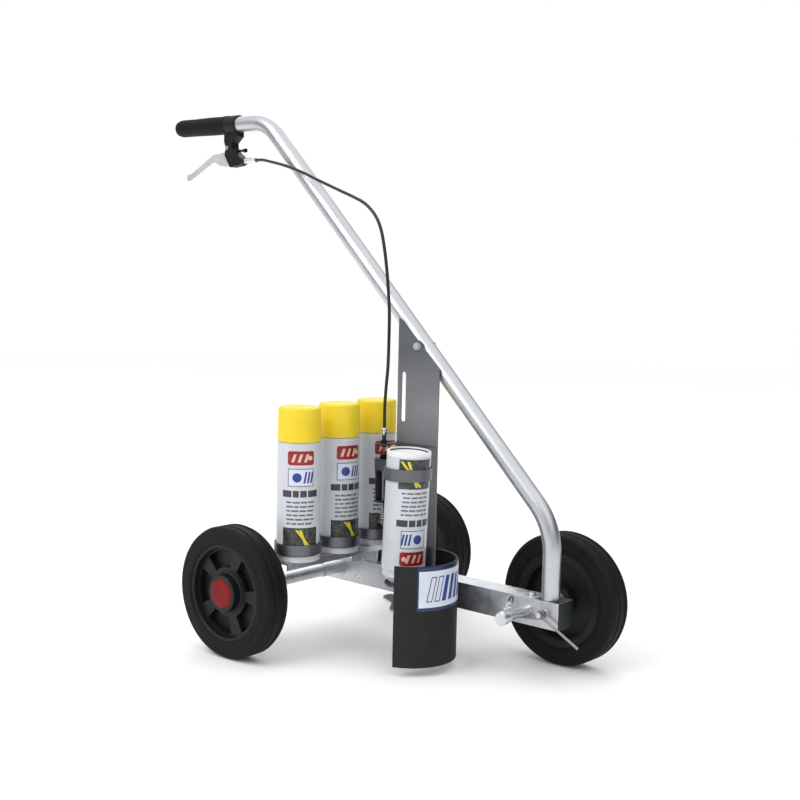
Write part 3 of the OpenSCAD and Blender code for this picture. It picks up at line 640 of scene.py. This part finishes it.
def can_films(seed):
    """A generic can label: picture band, small print, a heading, a boxed sign and a red band."""
    films = [("picture", FIRST_COAT, rectangle(-28, 9, 28, 53))]
    for left, lean in ((22, -30), (12, -14)):
        films.append(("yellow", SECOND_COAT, slanted(left, 12, left + 4, 50, lean)))
    for row in range(6):
        low = 58 + 6.4 * row
        left = -22.0
        while left < 18:
            width = 5 + (seed * 7 + row * 5 + int(left + 23) * 3) % 8
            films.append(("grey", FIRST_COAT, rectangle(left, low, min(left + width, 22), low + 2.6)))
            left += width + 1.6
    for left, right in ((-29, -14), (-12, -3), (-1, 9), (11, 28)):
        films.append(("dark", FIRST_COAT, rectangle(left, 99, right, 109)))
    box = rectangle(-20, 115, 20, 142)
    films.append(("white", FIRST_COAT, box))
    films += [("grey", SECOND_COAT, strip) for strip in outline_of(box, 1.2)]
    films.append(("blue", SECOND_COAT, circle_points(-6, 128.5, 7, 24)))
    for left in (3.5, 9, 14):
        films.append(("blue", SECOND_COAT, slanted(left, 120, left + 3, 137, 3)))
    films.append(("red", FIRST_COAT, rounded(-20.5, 147, 20.5, 168, 3.5)))
    for left in (-15, -5.5, 4):
        films.append(("cream", SECOND_COAT, slanted(left, 151.5, left + 4.2, 163.5, 4)))
    films.append(("cream", SECOND_COAT, circle_points(14, 157.5, 3.6, 24)))
    return films


CAN_RADIUS = 32.8  # millimetres
# how far each label is turned from facing the camera, in degrees, anticlockwise from above
LABEL_TURNS = {"spare_can_1": 6, "spare_can_2": 31, "spare_can_3": 34, "use_can": 25}


def toward_camera(point, turn, axis):
    """The direction square to the axis from a point to the camera, turned by so many degrees."""
    away = CAMERA_PLACE - point
    away -= axis * away.dot(axis)
    return Matrix.Rotation(math.radians(turn), 3, Vector((0, 0, 1))) @ away.normalized()


def make_can_labels():
    up = Vector((0, 0, 1))
    for number in (1, 2, 3):
        node = f"spare_can_{number}"
        low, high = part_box(node)
        foot = Vector(((low.x + high.x) / 2, (low.y + high.y) / 2, low.z))
        wall = round_wall(foot, up, toward_camera(foot, LABEL_TURNS[node], up), CAN_RADIUS)
        make_label(f"label_{number}", f"can_{number}", can_films(number), wall)
    facing = toward_camera(UPTURNED_FOOT, LABEL_TURNS["use_can"], UPTURNED_AXIS)
    facing = (facing - UPTURNED_AXIS * facing.dot(UPTURNED_AXIS)).normalized()
    wall = round_wall(UPTURNED_FOOT, UPTURNED_AXIS, facing, CAN_RADIUS)
    make_label("label_in_use", "can_in_use", can_films(4), wall)


# the round front of the spray guard, in the drawing's millimetres
GUARD_FOOT = Vector((198, -60, 0))
GUARD_RADIUS = 70.5
GUARD_LABEL_TURN = math.radians(42)  # from the middle of the label to its ends


def make_guard_label():
    """A white panel with a navy border and a generic row of slanted bars on the spray guard."""
    reach = GUARD_RADIUS * GUARD_LABEL_TURN
    panel = rectangle(-reach, 98, reach, 162.4)
    inner = rectangle(-reach + 2.4, 103, reach - 2.4, 156.5)
    films = [("navy", FIRST_COAT, panel), ("white", SECOND_COAT, inner)]
    for left in (-38, -25):
        hollow = outline_of(slanted(left, 111, left + 9, 148, 8), 1.4)
        films += [("navy", THIRD_COAT, strip) for strip in hollow]
    for left in (-12, 1, 14, 27):
        films.append(("blue", THIRD_COAT, slanted(left, 111, left + 8, 148, 8)))
    foot = (GUARD_FOOT + HOME) * MM
    wall = round_wall(foot, Vector((0, 0, 1)), Vector((1, 0, 0)), GUARD_RADIUS)
    make_label("guard_label", "frame", films, wall)


dress_cad_nodes()
make_cable(looks["cable_sheath"])
make_ferrule(looks["plated_steel"])
make_spring(looks["plated_steel"])
# painted shadow: a dark ring inside the rim of the upturned can's base
make_base_painted_shadow_ring(looks["dark_metal"])
make_can_labels()
make_guard_label()


# ---------- floor ----------
FLOOR_RADIUS = 6
FLOOR_HEIGHT = -0.0005


def make_floor():
    look = Look("floor", Specular_IOR_Level=0.0)
    look.colour(look.noise(2, detail=3), (0.3, srgb(253, 253, 253)), (0.7, srgb(255, 255, 255)))
    look.gloss(look.noise(6), 0.9, 1.0)
    mesh = bpy.data.meshes.new("floor")
    ring = [(x, y, FLOOR_HEIGHT) for x, y in circle_points(0, 0, FLOOR_RADIUS, 48)]
    mesh.from_pydata(ring, [], [tuple(range(48))])
    mesh.materials.append(look.material)
    floor = bpy.data.objects.new("floor", mesh)
    scene.collection.objects.link(floor)


make_floor()
